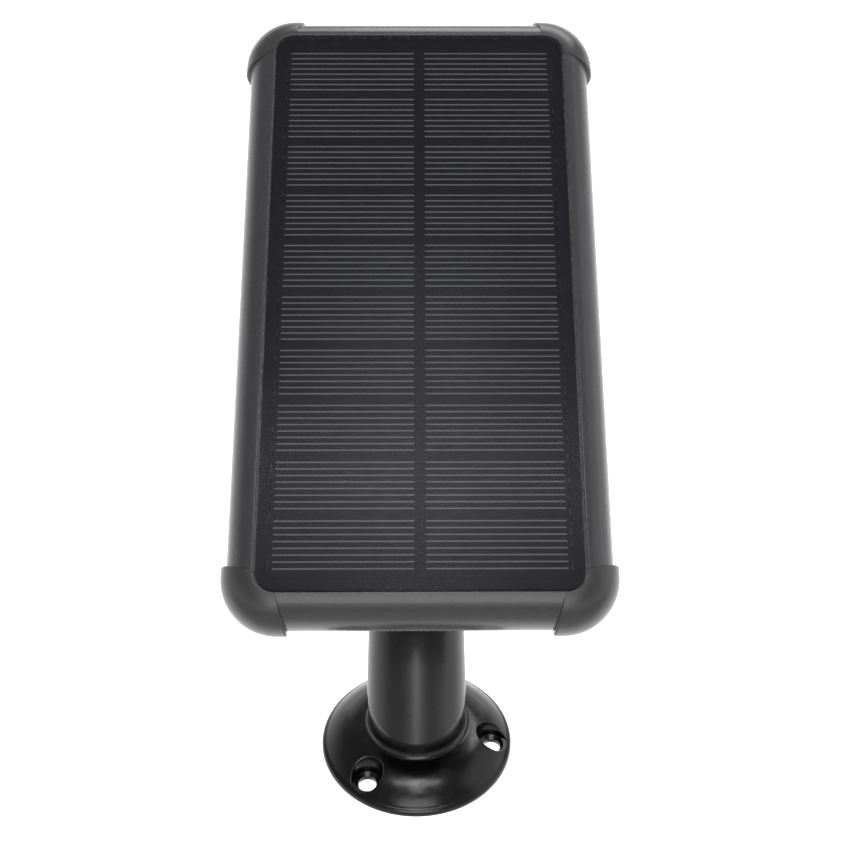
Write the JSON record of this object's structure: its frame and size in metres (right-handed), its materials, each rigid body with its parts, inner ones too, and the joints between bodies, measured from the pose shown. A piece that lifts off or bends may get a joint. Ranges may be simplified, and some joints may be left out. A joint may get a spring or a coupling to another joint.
{
  "type": "solar charging panel",
  "caption": "Tall solar charging panel with rubber corner bumpers on a slanted tubular arm, which swivels on a round screw-down flange and tilts at a clamp hinge.",
  "frame": {"origin": "centre of the flange's mounting face, on the pan axis", "axes": "+Z out of the wall along the pan axis, +Y the way the arm leans, +X to the right of the panel seen from its glass side"},
  "size_m": [0.1246, 0.1945, 0.2047],
  "materials": {
    "gloss_black": "high gloss",
    "case_plastic": "satin, fine moulded grain",
    "arm_plastic": "satin, fine moulded grain",
    "bumper_rubber": "satin",
    "cover_glass": "clear, faint satin",
    "silicon": "dark blue black, anti-reflection coated",
    "black_laminate": "matt black",
    "seal_rubber": "matt",
    "zinc_steel": "zinc plated",
    "brass": "machined",
    "bracket_paint": "black powder coat",
    "knob_plastic": "fine grain",
    "circuit_board": "solder mask",
    "tinned_copper": "tinned",
    "ferrite": "dull",
    "capacitor_can": "sleeved can",
    "terminal_plastic": "plain"
  },
  "bodies": {
    "base": {"wall_flange": "gloss_black", "friction_disc": "seal_rubber"},
    "arm": {"arm_tube": "arm_plastic", "foot_insert": "brass", "pan_bolt": "zinc_steel", "pan_washer": "zinc_steel", "arm_knuckle": "arm_plastic", "knuckle_pin": "zinc_steel"},
    "knob": {"tilt_knob": "knob_plastic", "knob_insert": "brass"},
    "panel": {"front_frame": "case_plastic", "rear_cover": "case_plastic", "bumper_lower_left": "bumper_rubber", "bumper_lower_right": "bumper_rubber", "bumper_upper_left": "bumper_rubber", "bumper_upper_right": "bumper_rubber", "cover_glass": "cover_glass", "solar_cell_1": "silicon", "solar_cell_2": "silicon", "solar_cell_3": "silicon", "solar_cell_4": "silicon", "solar_cell_5": "silicon", "solar_cell_6": "silicon", "solar_cell_7": "silicon", "solar_cell_8": "silicon", "solar_cell_9": "silicon", "solar_cell_10": "silicon", "solar_cell_11": "silicon", "solar_cell_12": "silicon", "solar_cell_13": "silicon", "solar_cell_14": "silicon", "solar_cell_15": "silicon", "solar_cell_16": "silicon", "solar_cell_17": "silicon", "solar_cell_18": "silicon", "solar_cell_19": "silicon", "solar_cell_20": "silicon", "cell_board": "black_laminate", "housing_seal": "seal_rubber", "glass_seal": "seal_rubber", "cable_gland": "seal_rubber", "case_screws": "zinc_steel", "board_screws": "zinc_steel", "bracket_screws": "zinc_steel", "hinge_bolt": "zinc_steel", "hinge_washers": "zinc_steel", "hinge_bracket": "bracket_paint", "gland_nut": "knob_plastic", "charge_board": "circuit_board", "cell_tabs": "tinned_copper", "cell_leads": "tinned_copper", "board_choke": "ferrite", "board_capacitors": "capacitor_can", "board_terminal": "terminal_plastic"}
  },
  "joints": [
    {"name": "arm_pan", "type": "hinge", "parent": "base", "child": "arm", "pos_m": [0, 0, 0.0275], "axis": [0, 0, 1], "continuous": true},
    {"name": "panel_tilt", "type": "hinge", "parent": "arm", "child": "panel", "pos_m": [0, 0.09462, 0.10276], "axis": [-1, 0, 0], "range_deg": [0, 90]},
    {"name": "knob_turn", "type": "hinge", "parent": "panel", "child": "knob", "pos_m": [0.02, 0.09462, 0.10276], "axis": [1, 0, 0], "continuous": true}
  ]
}
